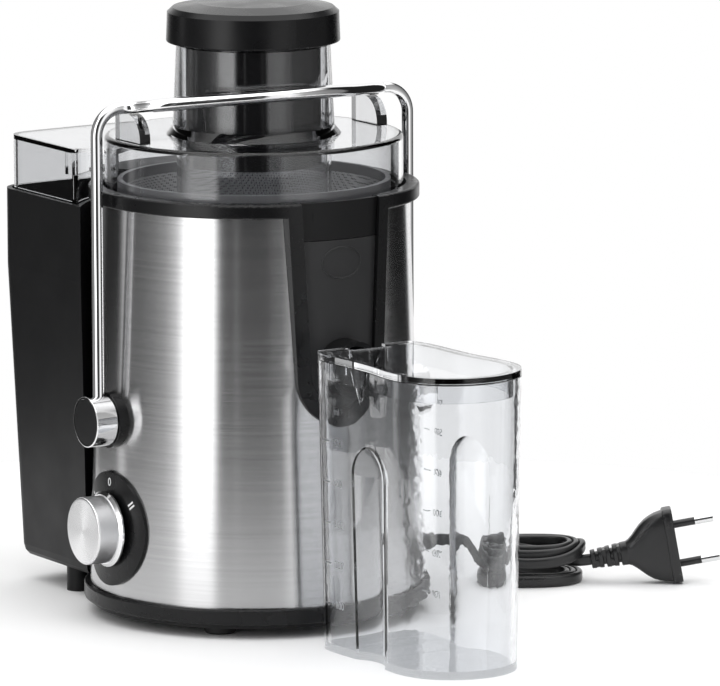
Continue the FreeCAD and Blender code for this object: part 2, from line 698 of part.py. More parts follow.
def bail():
    leg_y, bend, top = size["leg_y"], size["bail_bend"], size["bar_z"]
    curve = bow()
    split = where_y(curve, -size["grip_half"])
    far_split = where_y(curve, size["grip_half"])
    end = curve.copy()
    end.segment(curve.FirstParameter, split)
    foot = Vector(0, -leg_y, size["pivot_z"] - 9)
    knee = Vector(0, -leg_y, top - bend)
    shoulder = Vector(0, bend - leg_y, top)
    elbow = Vector(0, -leg_y + bend * (1 - math.sqrt(0.5)), top - bend * (1 - math.sqrt(0.5)))
    path = Part.Wire([Part.LineSegment(foot, knee).toShape(), Part.Arc(knee, elbow, shoulder).toShape(),
                      end.toShape()])
    section = Part.Wire(Part.Circle(foot, Vector(0, 0, 1), size["wire_r"]).toShape())
    front = swept(path, section)
    back = front.mirror(Vector(0, 0, 0), Vector(0, 1, 0))
    node(shaped("bail_wire", Part.makeCompound([front, back])), "bail_wire")

    middle = curve.copy()
    middle.segment(split, far_split)
    start = middle.value(middle.FirstParameter)
    along = Vector(*middle.tangent(middle.FirstParameter)[0])
    level = along.cross(Vector(0, 0, 1))
    oval = Part.Ellipse(Vector(0, 0, 0), 4.6, 3.0).toShape()
    lift = Placement(start, Rotation(level, Vector(0, 0, 1), along, "ZXY"))
    ring = Part.Wire(oval.transformGeometry(lift.toMatrix()))
    node(shaped("bail_grip", swept(Part.Wire(middle.toShape()), ring)), "bail_grip")

    buttons = []
    inserts = []
    pins = []
    for name, side, turn in (("front", -1, OUT_FRONT), ("back", 1, OUT_BACK)):
        button = place(turned(f"button_{name}", [
            (0, "button_in"), ("button_r", "button_in"), ("button_r", "button_out"),
            ("button_r - 1.1", "button_out"), ("button_r - 1.1", "button_out - 0.9"), (0, "button_out - 0.9"),
        ], [("button_r", "button_out", 0.5)]), 0, 0, "pivot_z", turn)
        leg = cylinder("wire_r", 30, 0, side * leg_y, "pivot_z - 9")
        buttons.append(cut(button, leg))
        inserts.append(cylinder("button_r - 1.2", 0.8, 0, side * (size["button_out"] - 0.9), "pivot_z", turn))
        stem = cylinder("pin_r", "button_in - 66", 0, side * 66, "pivot_z", turn)
        clip = tube(6.3, "pin_r", 1.2, 0, side * 66.3, "pivot_z", turn)
        pins.append(fuse(stem, clip))
    node(group(buttons), "pivot_buttons")
    node(group(inserts), "button_inserts")
    node(group(pins), "pivot_pins")

    bosses = []
    for side, turn in ((-1, OUT_FRONT), (1, OUT_BACK)):
        disc = cut(cylinder("boss_r", "boss_out - 60", 0, side * 60, "pivot_z", turn), housing_core())
        tail = cylinder(5.95, 6.5, 0, side * 68.3, "pivot_z", turn)
        bore = cylinder("pin_r + pin_clear", 30, 0, side * 60, "pivot_z", turn)
        bosses.append(cut(fuse(disc, tail), bore))
    node(group(bosses), "pivot_bosses")
    node(box(12, 8, 20, 17, -60, "pivot_z - 11"), "interlock_switch")


# ---- speed knob -----------------------------------------------------------------------------

def knob():
    band = turned("dial_blank", [
        ("skin_low_r + 0.05", "ring_seat"), ("skin_low_r + 0.05 + dial_thick", "ring_seat"),
        ("skin_top_r + 0.05 + dial_thick", "skin_top"), ("skin_top_r + 0.05", "skin_top"),
    ])
    disc = cylinder("dial_r", 40, 0, -60, "knob_z", OUT_FRONT)
    node(cut(common(band, disc), cylinder(4.2, 40, 0, -60, "knob_z", OUT_FRONT)), "dial_plate")
    node(place(turned("knob_flange", [
        (0, "flange_in"), ("flange_r - 0.8", "flange_in"), ("flange_r", "flange_in + 0.8"),
        ("flange_r", "flange_out - 1.2"), ("flange_r - 1.4", "flange_out"), (0, "flange_out"),
    ]), 0, 0, "knob_z", OUT_FRONT), "knob_flange")
    node(place(turned("knob_cap", [
        (0, "flange_out"), ("knob_r", "flange_out"), ("knob_r", "knob_out"), (0, "knob_out"),
    ], [("knob_r", "knob_out", 0.9)]), 0, 0, "knob_z", OUT_FRONT), "knob_cap")
    spindle = cylinder("spindle_r", "flange_in - spindle_in", 0, "-spindle_in", "knob_z", OUT_FRONT)
    node(spindle, "switch_spindle")
    case = fuse(box(26, 18, 28, 0, -54, "knob_z - 14"), cylinder(6.5, 9, 0, -62, "knob_z", OUT_FRONT))
    bore = cylinder("spindle_r + pin_clear", 40, 0, -49.5, "knob_z", OUT_FRONT)
    node(cut(case, bore), "switch_body")


# ---- motor and drive --------------------------------------------------------------------------

def both_sides(make):
    """Two copies of a piece, at +X and at -X or at +Y and at -Y."""
    return [make(1), make(-1)]


def motor():
    stack = "core_top - core_low"
    ring = tube("stator_r", "stator_slot_r", stack, 0, 0, "core_low")
    poles = both_sides(lambda side: box(25, 12, stack, 0, side * 28, "core_low"))
    yoke = cut(fuse(ring, *poles), cylinder("stator_bore", 60, 0, 0, "core_low - 5"))
    bolt_holes = both_sides(lambda side: cylinder(1.9, 90, side * 36.5, 0, 15))
    node(cut(yoke, *bolt_holes), "motor_stator")

    def coil(side):
        outer = box(34, 4.4, 49, 0, side * 25.7, "core_low - 7")
        return cut(outer, box(25.4, 6, "core_top - core_low + 0.4", 0, side * 25.7, "core_low - 0.2"))
    node(group(both_sides(coil)), "stator_windings")

    low = fuse(box(84, 18, 3, 0, 0, 20), cylinder(11, 6.5, 0, 0, 16.5))
    holes = both_sides(lambda side: cylinder(1.9, 90, side * 36.5, 0, 15))
    node(cut(low, cylinder(8, 20, 0, 0, 10), *holes), "lower_bracket")
    top = fuse(box(84, 18, 2.5, 0, 0, 94), cylinder(11, 8.0, 0, 0, 94))
    holes = both_sides(lambda side: cylinder(1.9, 90, side * 36.5, 0, 15))
    node(cut(top, cylinder(8, 20, 0, 0, 90), *holes), "upper_bracket")
    node(tube(8, "shaft_r + pin_clear", 6, 0, 0, 16.8), "lower_bearing")
    node(tube(8, "shaft_r + pin_clear", 6, 0, 0, 95.8), "upper_bearing")

    def bolt(side):
        return fuse(cylinder(1.9, 79.5, side * 36.5, 0, 19), cylinder(3.4, 2.4, side * 36.5, 0, 17.6),
                    cylinder(3.4, 2.4, side * 36.5, 0, 96.5))
    node(group(both_sides(bolt)), "motor_bolts")
    node(group([cylinder(4.6, "deck_low - 96.5", x, 0, 96.5) for x in (-24.0, 24.0)]), "motor_dampers")

    def holder(side):
        return cut(box(18, 10, 11.6, side * 22, 0, 82.4), box(18, 6.2, 8.2, side * 20.8, 0, 83.9))
    node(group(both_sides(holder)), "brush_holders")
    node(group(both_sides(lambda side: box(10, 6.2, 8.2, side * 16.3, 0, 83.9))), "brushes")
    springs = []
    for side in (1, -1):
        coil_line = Part.makeHelix(1.7, 7.6, 2.3)
        wire = Part.Wire(Part.Circle(Vector(2.3, 0, 0), Vector(0, 1, 0), 0.3).toShape())
        spring = Part.Wire(coil_line).makePipeShell([wire], True, True)
        spring.Placement = Placement(Vector(side * 21.75, 0, 88), Rotation(Vector(0, 1, 0), 90 * side))
        springs.append(spring)
    node(shaped("brush_springs", Part.makeCompound(springs)), "brush_springs")


def rotor():
    node(cylinder("shaft_r", 121, 0, 0, 15), "motor_shaft")
    core = tube("core_r", "shaft_r", "core_top - core_low", 0, 0, "core_low")
    slots = [box(2.4, 2.4, 60, x, y, "core_low - 5") for x, y in around(12, 20.5)]
    node(cut(core, *slots), "rotor_core")
    node(group([tube(19, 6, 4.6, 0, 0, z) for z in ("core_low - 4.6", "core_top")]), "rotor_windings")
    node(tube(11, "shaft_r", 12, 0, 0, 80), "commutator")
    hub = tube(7, "shaft_r", 6, 0, 0, 25.5)
    disc = tube(33, "shaft_r", 1.4, 0, 0, 25.5)
    blades = [spoke(40 * step, 6.5, 26, 1.4, 26.5, 5) for step in range(9)]
    node(fuse(hub, disc, *blades), "cooling_fan")
    drive = fuse(cylinder(9.5, 16.5, 0, 0, "coupling_low"),
                 cylinder("coupling_r", 12, 0, 0, "coupling_top - 12"))
    node(cut(drive, cylinder("shaft_r", 16, 0, 0, "coupling_low")), "drive_coupling")

    floor = turned("basket_blank", [
        ("coupling_r", "basket_low - 6"), (12, "basket_low - 6"), (12, "basket_low"),
        ("basket_floor_r + 2", "basket_low"), ("basket_floor_r + 3", "basket_low + 5"),
        ("basket_floor_r + 1", "basket_low + 5"), ("basket_floor_r", "basket_low + 2"), (0, "basket_low + 2"),
        (0, "coupling_top + 0.05"), ("coupling_r", "coupling_top + 0.05"),
    ])
    cage = turned("cage_blank", [
        ("basket_floor_r + 1", "basket_low + 4"), ("basket_floor_r + 3", "basket_low + 4"),
        ("basket_rim_r - 0.4", "basket_rim_low + 1"), ("basket_rim_r - 2.4", "basket_rim_low + 1"),
    ])
    bars = [spoke(45 * step, 20, 50, 3, "basket_low + 3", 62) for step in range(8)]
    rim = tube("basket_rim_r", "basket_rim_r - 2.4", "basket_top - basket_rim_low", 0, 0, "basket_rim_low")
    node(fuse(floor, rim, common(cage, fuse(*bars))), "filter_basket")
    node(turned("filter_mesh", [
        ("basket_floor_r - 0.1", "basket_low + 2.1"), ("basket_floor_r + 0.4", "basket_low + 4"),
        ("basket_rim_r - 2.5", "basket_rim_low + 1"), ("basket_rim_r - 3.0", "basket_rim_low + 1"),
        ("basket_floor_r - 0.1", "basket_low + 4"), ("basket_floor_r - 0.6", "basket_low + 2.1"),
    ]), "filter_mesh")
    teeth = []
    for count, radius in ((10, 12.0), (16, 20.0), (22, 28.0), (26, 35.0)):
        for x, y in around(count, radius):
            teeth.append(cone(1.2, 0.4, 1.2, x, y, "basket_low + 2.7"))
    node(fuse(cylinder("basket_floor_r - 1.4", 0.8, 0, 0, "basket_low + 2"), *teeth), "grater_disc")


# ---- pulp container and jug ---------------------------------------------------------------------

def lofted(body, kind, sections):
    """Ruled loft through pulp container outlines given as (height, inset, hollow radius)."""
    sketches = []
    for height, inset, hollow_r in sections:
        sketch = new_sketch(body, "XY_Plane", height)
        bin_outline(sketch, inset, hollow_r)
        sketches.append(sketch)
    loft = body.newObject(kind, body.Name + "_loft")
    loft.Profile = sketches[0]
    loft.Sections = sketches[1:]
    loft.Ruled = True
    return loft


def pulp_container():
    body = doc.addObject("PartDesign::Body", "bin_blank")
    draft, wall, hollow = size["bin_draft"], size["bin_wall"], size["bin_hollow_r"]
    base, knee, rim = "bin_low", ("bin_knee", 0), ("bin_top", 0)
    rounding = [(0.0, 5.0), (1.0, 2.6), (3.0, 0.8), (6.0, 0.0)]
    lofted(body, "PartDesign::AdditiveLoft", [
        (f"{base} + {rise}", draft + more, hollow) for rise, more in rounding
    ] + [(*knee, hollow), (*rim, hollow)])
    lofted(body, "PartDesign::SubtractiveLoft", [
        (f"{base} + bin_wall", draft + wall + 4, hollow + wall),
        (f"{base} + bin_wall + 5", draft + wall, hollow + wall),
        ("bin_knee", wall, hollow + wall), ("bin_top + 0.1", wall, hollow + wall)])
    node(body, "pulp_container")
    feet = [cut(cylinder("bin_foot_r", "bin_low + 2", x, y, 0), body)
            for x, y in ((-79.0, -50.0), (-79.0, 50.0), (-112.0, -30.0), (-112.0, 30.0))]
    node(group(feet), "container_feet")


def jug_outline(inset):
    """Face of the jug's outline, flat towards the juicer and round at the far end."""
    length = size["jug_length"] - inset
    near = size["jug_half_near"] - inset
    far = size["jug_half_far"] - inset
    side = [(0.0, 0.86 * near), (0.05, 0.955 * near), (0.14, near), (0.30, near),
            (0.49, 0.5 * (near + far) - 1.2),
            (0.65, 0.97 * far), (0.77, 0.95 * far), (0.88, 0.80 * far), (0.97, 0.44 * far), (1.0, 0.0)]
    points = [Vector(inset + share * (length - inset), half, 0) for share, half in side]
    points += [Vector(point.x, -point.y, 0) for point in reversed(points[:-1])]
    curve = Part.BSplineCurve()
    curve.interpolate(points)
    return [curve.toShape(), Part.LineSegment(points[-1], points[0]).toShape()]


def jug_block(low, top, low_inset, top_inset):
    """Solid between two outlines of the jug."""
    wires = []
    for height, inset in ((low, low_inset), (top, top_inset)):
        wire = Part.Wire(jug_outline(inset))
        wire.translate(Vector(0, 0, height))
        wires.append(wire)
    return Part.makeLoft(wires, True, True)


def finger_hollows(grow):
    """The two upright hollows with arched tops that the fingers hold."""
    radius = size["grip_r"] - grow
    middle = 0.5 * (size["jug_half_near"] + size["jug_half_far"]) - 1.2
    out = middle - size["grip_depth"] + size["grip_r"]
    arch = size["grip_top"] - size["grip_r"] * 0.65
    pieces = []
    for side in (-1, 1):
        centre = Vector(size["grip_x"], side * out, -1)
        shaft = Part.makeCylinder(radius, arch + 1, centre)
        pieces.append(shaft.fuse(Part.makeSphere(radius, Vector(centre.x, centre.y, arch))))
    return pieces


def jug():
    wall, draft, top, floor = size["jug_wall"], size["jug_draft"], size["jug_top"], size["jug_floor"]
    lip_top = Vector(1.5, 0, top)
    lip_low = Vector(1.5, 0, top - 24)
    outer = jug_block(0, top, draft, 0).cut(finger_hollows(0))
    outer = outer.fuse(Part.makeCone(1.0, 9.5, 24, lip_low))
    room = jug_block(floor, top + 1, draft + wall, wall).cut(finger_hollows(-wall))
    room = room.fuse(Part.makeCone(0.5, 9.5 - wall, 24 - wall, lip_low + Vector(0, 0, wall + 0.1)))
    room = room.fuse(Part.makeCylinder(9.5 - wall, 2, lip_top - Vector(0, 0, 0.5)))
    stand = Placement(Vector(size["jug_x"], size["jug_y"], 0), Rotation(Vector(0, 0, 1), size["jug_turn"]))
    body = shaped("jug", outer.cut(room))
    body.Placement = stand
    node(body, "jug")
    plate = jug_block(size["lip_z"], size["lip_top"], 0, 0)
    skirt = jug_block(size["lip_skirt"], size["lip_z"], wall + 1.1, wall + 1.1)
    skirt = skirt.cut(jug_block(size["lip_skirt"] - 1, size["lip_z"], wall + 2.7, wall + 2.7))
    mouth = Part.makeBox(14, 20, 30, Vector(-6, -10, size["lip_skirt"] - 2))
    cover = shaped("jug_lid", plate.fuse(skirt).cut(mouth).removeSplitter())
    cover.Placement = stand
    node(cover, "jug_lid")


# ---- mains lead -----------------------------------------------------------------------------------

LEAD_ROUTE = [(0.0, 93.0, 22.0), (0.2, 103.0, 22.0), (1.2, 114.5, 15.5), (3.5, 124.0, 13.8)]
HANK_CENTRE = Vector(13.5, 141.7, 0)
HANK_TURN = 60.5
PLUG_START = Vector(31.8, 161.4, 11.3)
PLUG_PITCH = 10.0


def lead_path(points):
    """Wire of straight runs joined by tangent arcs, each arc as large as its two runs allow."""
    points = [Vector(*point) for point in points]
    edges = []
    here = points[0]
    length = 0.0
    for before, corner, after in zip(points, points[1:], points[2:]):
        into = (corner - before).normalize()
        away = (after - corner).normalize()
        half = into.getAngle(away) / 2
        reach = 0.45 * min((corner - before).Length, (after - corner).Length)
        radius = reach / math.tan(half)
        print(f"lead arc radius {radius:.1f} mm")
        first = corner - into * reach
        last = corner + away * reach
        inwards = (away - into).normalize()
        apex = corner + inwards * (radius / math.cos(half) - radius)
        edges.append(Part.LineSegment(here, first).toShape())
        edges.append(Part.Arc(first, apex, last).toShape())
        length += (first - here).Length + 2 * half * radius
        here = last
    edges.append(Part.LineSegment(here, points[-1]).toShape())
    length += (points[-1] - here).Length
    return Part.Wire(edges), length


def lead():
    path, length = lead_path(LEAD_ROUTE)
    start = Vector(*LEAD_ROUTE[0])
    section = Part.Wire(Part.Circle(start, Vector(0, 1, 0), size["lead_r"]).toShape())
    solid = swept(path, section)
    print(f"lead volume ratio {solid.Volume / (math.pi * size['lead_r'] ** 2 * length):.4f}")
    node(shaped("mains_lead", solid), "mains_lead")

    relief = fuse(cylinder(6.4, 8, 0, 70, "gland_z", OUT_BACK), cylinder(8, 1.8, 0, 77, "gland_z", OUT_BACK),
                  cone(5.4, 3.9, "gland_end - 78.8", 0, 78.8, "gland_z", OUT_BACK))
    node(relief, "strain_relief")
    node(box(20, 12, 14, 0, 54, 16), "terminal_block")

    straight = size["hank_long"] - size["hank_wide"]
    radius = size["hank_wide"] / 2
    ends = [Part.makeCylinder(radius, size["hank_high"], Vector(x, 0, 0))
            for x in (-straight / 2, straight / 2)]
    middle = Part.makeBox(straight, size["hank_wide"], size["hank_high"], Vector(-straight / 2, -radius, 0))
    hank = middle.fuse(ends).removeSplitter()
    hank = hank.cut(Part.makeBox(straight + 4, 7, 40, Vector(-straight / 2 - 2, -3.5, -5)))
    coil = shaped("lead_hank", hank)
    coil.Placement = Placement(HANK_CENTRE, Rotation(Vector(0, 0, 1), HANK_TURN))
    node(coil, "lead_hank")


def plug():
    turn = Rotation(Vector(0, 0, 1), HANK_TURN) * Rotation(Vector(0, 1, 0), -PLUG_PITCH)
    stand = Placement(PLUG_START, turn)
    wires = []
    for reach, wide, thick in ((0, 8.6, 7.0), (17, 11.0, 9.0), (22, 19.0, 10.6), (28, 29.0, 12.2),
                               (36, 33.6, 13.4)):
        corners = [Vector(reach, y * thick / 2, z * wide / 2)
                   for y, z in ((-1, -1), (1, -1), (1, 1), (-1, 1))]
        wires.append(Part.makePolygon(corners + corners[:1]))
    body = Part.makeLoft(wires, True, True)
    face = Part.makeBox(4.7, 14.4, 35.3, Vector(36, -7.2, -17.65))
    grip = shaped("plug_body", body.fuse(face))
    grip.Placement = stand
    node(grip, "plug_body")
    for name, start, length, radius in (("pin_sleeves", 40.7, 10.0, 1.8), ("plug_pins", 50.7, 8.6, 1.9)):
        pieces = [Part.makeCylinder(radius, length, Vector(start, 0, z), Vector(1, 0, 0))
                  for z in (-9.3, 9.3)]
        pair = shaped(name, Part.makeCompound(pieces))
        pair.Placement = stand
        node(pair, name)


# ---- whole machine --------------------------------------------------------------------------------

for build in (base, shell, spout_side, bowl, lid, pusher, bail, knob,
              motor, rotor, pulp_container, jug, lead, plug):
    build()
doc.recompute()

for thing in doc.Objects:
    if "Invalid" in thing.State or "Error" in thing.State:
        raise RuntimeError(f"{thing.Name} ({thing.Label}) is {thing.State}")
os.makedirs("parts", exist_ok=True)
for thing in nodes:
    if thing.Shape.isNull() or not thing.Shape.isValid() or thing.Shape.Volume <= 0:
        raise RuntimeError(f"{thing.Label} has no valid solid")
for thing in nodes:
    thing.Shape.exportStep(f"parts/{thing.Label}.step")
    print(thing.Label, len(thing.Shape.Solids), round(thing.Shape.Volume / 1000, 2))
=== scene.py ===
import bpy
import bmesh
import json
import math
from mathutils import Matrix, Vector


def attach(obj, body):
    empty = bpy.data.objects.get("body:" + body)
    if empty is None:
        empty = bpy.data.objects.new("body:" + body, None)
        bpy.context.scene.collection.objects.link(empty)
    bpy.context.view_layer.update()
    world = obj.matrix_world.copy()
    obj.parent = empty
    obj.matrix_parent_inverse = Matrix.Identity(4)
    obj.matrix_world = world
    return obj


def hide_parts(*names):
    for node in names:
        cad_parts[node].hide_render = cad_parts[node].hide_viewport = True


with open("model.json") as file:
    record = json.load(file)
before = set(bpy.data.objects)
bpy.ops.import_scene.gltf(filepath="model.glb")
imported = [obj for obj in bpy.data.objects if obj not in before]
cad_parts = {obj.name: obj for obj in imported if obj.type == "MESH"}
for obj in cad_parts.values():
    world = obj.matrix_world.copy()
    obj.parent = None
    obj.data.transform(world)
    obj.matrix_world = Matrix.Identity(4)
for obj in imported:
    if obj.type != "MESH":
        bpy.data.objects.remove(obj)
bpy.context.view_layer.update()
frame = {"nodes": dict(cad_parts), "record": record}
MM = 0.001
KNOB_Z = 44.0

# ---- camera ------------------------------------------------------------------------------------
# The view is 60.5 degrees round from -Y towards +X.
AZ = math.radians(60.5)
ACROSS = Vector((math.cos(AZ), math.sin(AZ), 0))
AWAY = Vector((-math.sin(AZ), math.cos(AZ), 0))
UP = Vector((0, 0, 1))


def make_camera():
    yaw, pitch, roll = math.radians(0.77), math.radians(9.09), math.radians(-0.20)
    forward = (ACROSS * math.sin(yaw) * math.cos(pitch) + AWAY * math.cos(yaw) * math.cos(pitch)
               - UP * math.sin(pitch))
    level = forward.cross(UP).normalized()
    above = level.cross(forward).normalized()
    right = level * math.cos(roll) + above * math.sin(roll)
    top = right.cross(forward)
    data = bpy.data.cameras.new("camera")
    data.lens = 406.5
    data.sensor_width = 36
    data.shift_x, data.shift_y = -0.0042, -0.0417
    data.clip_start, data.clip_end = 0.1, 50
    camera = bpy.data.objects.new("camera", data)
    bpy.context.collection.objects.link(camera)
    place = (3.196, -1.808, 0.724)
    camera.matrix_world = Matrix((
        (right.x, top.x, -forward.x, place[0]), (right.y, top.y, -forward.y, place[1]),
        (right.z, top.z, -forward.z, place[2]), (0, 0, 0, 1)))
    bpy.context.scene.camera = camera


make_camera()


# ---- mesh helpers --------------------------------------------------------------------------------

def new_object(name, bm, smooth=35):
    """Object from a bmesh, with edges sharper than smooth degrees left sharp."""
    bmesh.ops.recalc_face_normals(bm, faces=bm.faces)
    mesh = bpy.data.meshes.new(name)
    bm.to_mesh(mesh)
    bm.free()
    for face in mesh.polygons:
        face.use_smooth = True
    mesh.set_sharp_from_angle(angle=math.radians(smooth))
    thing = bpy.data.objects.new(name, mesh)
    bpy.context.collection.objects.link(thing)
    return thing


def skin_rings(bm, rings, closed_ends=True):
    """Faces between rings of points with the same count."""
    loops = [[bm.verts.new(point) for point in ring] for ring in rings]
    for one, two in zip(loops, loops[1:]):
        for i in range(len(one)):
            j = (i + 1) % len(one)
            bm.faces.new((one[i], one[j], two[j], two[i]))
    if closed_ends:
        bm.faces.new(loops[0])
        bm.faces.new(loops[-1])


# ---- mains lead ----------------------------------------------------------------------------------

WIDE, THICK = 5.3, 3.0
HANK = Vector((13.5, 141.7, 0))
PLUG_AT = Vector((31.8, 161.4, 11.3))
EXIT = (0.0, 93.0, 22.0)


def in_hank(a, b, z):
    """Point of the hank from its own axes, a along it and b across it."""
    return HANK + ACROSS * a + AWAY * b + UP * z


def turn_point(phi, radius, z, middle=-2.0, half=6.0):
    """Point of a turn; phi runs backwards from the far end."""
    c, s = math.cos(phi), math.sin(phi)
    return in_hank(middle + half * max(-1.0, min(1.0, 1.8 * c)) + radius * c, radius * s, z)


def lead_route():
    """Control points from the bush, round the hank's lower and upper turns, to the plug."""
    low, rise, high = 2.85, 13.95, 16.8
    small, growth, big = 11.2, 8.0, 19.2
    climb_from, climb_to, laps_back = 2.75, 3.25, 2.5
    route = [Vector(EXIT), Vector((0.0, 98.5, 22.0)), Vector((0.2, 104.5, 21.4)), Vector((0.8, 110.5, 17.0)),
             Vector((1.7, 115.8, 12.2)), Vector((2.8, 120.5, 9.2)), in_hank(-18.7, 0.1, 8.2),
             in_hank(-12.0, 1.8, 7.5), in_hank(-5.5, 5.4, 6.0), in_hank(0.5, 9.4, 4.3)]
    steps = 96
    for step in range(1, steps):
        t = 0.05 + 5.70 * step / steps
        phi = math.pi / 2 - 2 * math.pi * t
        wobble = 0.5 * math.sin(2.1 * phi + 0.7 * t) - 0.5
        if t < climb_from:
            radius = small + growth * t / climb_from
            z = low + 1.4 * math.sin(math.pi * min(1.0, max(0.0, t - 1.2))) ** 2
        elif t < climb_to:
            radius = big
            share = (t - climb_from) / (climb_to - climb_from)
            z = low + rise * (3 * share ** 2 - 2 * share ** 3)
        else:
            radius = big - growth * (t - climb_to) / laps_back
            sag = {3: 5.6, 4: 2.2, 5: 0.6}.get(int(t), 0.0)
            near_side = max(0.0, -math.sin(phi)) ** 1.5
            z = high - sag * near_side
        route.append(turn_point(phi, radius + wobble, z))
    route += [in_hank(-19.2, 0.0, 16.4), in_hank(-17.7, 5.6, 15.6), in_hank(-13.6, 9.6, 14.6),
              in_hank(-8.0, 11.0, 13.6), in_hank(-2.6, 9.8, 13.0), in_hank(4.4, 6.2, 12.3),
              in_hank(10.8, 1.6, 11.4), in_hank(16.4, -3.2, 10.6), in_hank(21.2, -5.8, 10.4), PLUG_AT]
    return [point * MM for point in route]


def nurbs(name, points):
    curve = bpy.data.curves.new(name, "CURVE")
    curve.dimensions = "3D"
    spline = curve.splines.new("NURBS")
    spline.points.add(len(points) - 1)
    for control, point in zip(spline.points, points):
        control.co = (*point, 1)
    spline.order_u = 3
    spline.use_endpoint_u = True
    spline.resolution_u = 6
    thing = bpy.data.objects.new(name, curve)
    bpy.context.collection.objects.link(thing)
    return thing


def flat_tube(name, line, profile):
    """Tube with this profile along a line, its wide side kept upright."""
    bm = bmesh.new()
    rings = []
    for i, point in enumerate(line):
        along = (line[min(i + 1, len(line) - 1)] - line[max(i - 1, 0)]).normalized()
        upright = (UP - along * along.dot(UP)).normalized()
        side = along.cross(upright)
        rings.append([point + side * x + upright * y for x, y in profile])
    skin_rings(bm, rings)
    return new_object(name, bm, 60)


def figure_eight(wide, thick, count=28):
    """Section of a flat two-core lead: two round cores with a shallow groove between them."""
    points = []
    for i in range(count):
        angle = 2 * math.pi * i / count
        x, y = math.cos(angle), math.sin(angle)
        waist = 1 - 0.14 * math.exp(-(y * wide / 2) ** 2 / 0.35)
        reach = math.copysign(abs(x) ** 0.75, x) * thick / 2 * waist
        points.append((reach * MM, math.copysign(abs(y) ** 0.85, y) * wide / 2 * MM))
    return points


def make_lead():
    guide = nurbs("lead_line", lead_route())
    bpy.context.view_layer.update()
    flat = bpy.data.meshes.new_from_object(guide)
    line = [vertex.co.copy() for vertex in flat.vertices]
    bpy.data.objects.remove(guide)
    bpy.data.meshes.remove(flat)
    lead = flat_tube("flat_lead", line, figure_eight(WIDE, THICK))
    length = sum((b - a).length for a, b in zip(line, line[1:]))
    return lead, line, length


lead, lead_line, lead_length = make_lead()


# ---- plug ----------------------------------------------------------------------------------------

PLUG_TURN = Matrix.Rotation(AZ, 3, "Z") @ Matrix.Rotation(math.radians(-10), 3, "Y")


def plug_point(x, y, z):
    """Point of the plug: x along it, y across its thin side, z across its wide side."""
    return (PLUG_AT + PLUG_TURN @ Vector((x, y, z))) * MM


def squircle(thin, wide, power, count=64):
    points = []
    for i in range(count):
        angle = 2 * math.pi * i / count
        c, s = math.cos(angle), math.sin(angle)
        points.append((math.copysign(abs(c) ** (2 / power), c) * thin / 2,
                       math.copysign(abs(s) ** (2 / power), s) * wide / 2))
    return points


def plug_solid(bm, sections):
    skin_rings(bm, [[plug_point(x, y, z) for y, z in squircle(thin, wide, power)]
                    for x, thin, wide, power in sections])


def make_plug():
    bm = bmesh.new()
    plug_solid(bm, [(0.4, 4.6, 6.2, 3), (17.6, 6.2, 8.2, 3)])
    for index in range(5):
        start = index * 3.5
        grow = 0.9 * index
        last = 2.3 if index < 4 else 3.4
        end = start + last
        rib = [(start, 6.2, 7.9), (start + 0.3, 6.9, 8.5), (end - 0.3, 7.1, 8.8), (end, 6.4, 8.2)]
        plug_solid(bm, [(x, thin + grow * 0.45, wide + grow * 0.6, 3.4) for x, thin, wide in rib])
        if index < 4:
            shift = (2.2 + 0.25 * index) * (1 if index % 2 else -1)
            reach = 3.4 + 0.2 * index
            link = [plug_point(start + x, y, shift + z) for x in (2.0, 3.8)
                    for y, z in ((-reach, -1.5), (reach, -1.5), (reach, 1.5), (-reach, 1.5))]
            skin_rings(bm, [link[:4], link[4:]])
    flare = [(16.8, 8.6, 10.6, 3.2), (18.6, 9.2, 12.4, 3.2), (20.6, 10.0, 15.8, 3.2),
             (22.6, 10.7, 20.0, 3.4), (24.8, 11.4, 24.2, 3.6), (27.2, 12.0, 27.8, 4.0),
             (29.8, 12.6, 30.4, 4.4), (32.6, 13.0, 32.2, 5.0), (35.4, 13.3, 33.2, 5.4), (36.2, 13.3, 33.3, 5.4)]
    plug_solid(bm, flare)
    plug_solid(bm, [(36.0, 13.0, 33.8, 6.5), (36.5, 14.2, 35.1, 6.5), (37.0, 14.4, 35.3, 6.5),
                    (40.1, 14.4, 35.3, 6.5), (40.5, 14.1, 35.0, 6.5), (40.7, 13.6, 34.5, 6.5)])
    return new_object("plug_moulding", bm, 40)


plug = make_plug()
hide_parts("plug_body")
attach(plug, "machine")
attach(lead, "machine")
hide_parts("mains_lead", "lead_hank")


# ---- materials -----------------------------------------------------------------------------------

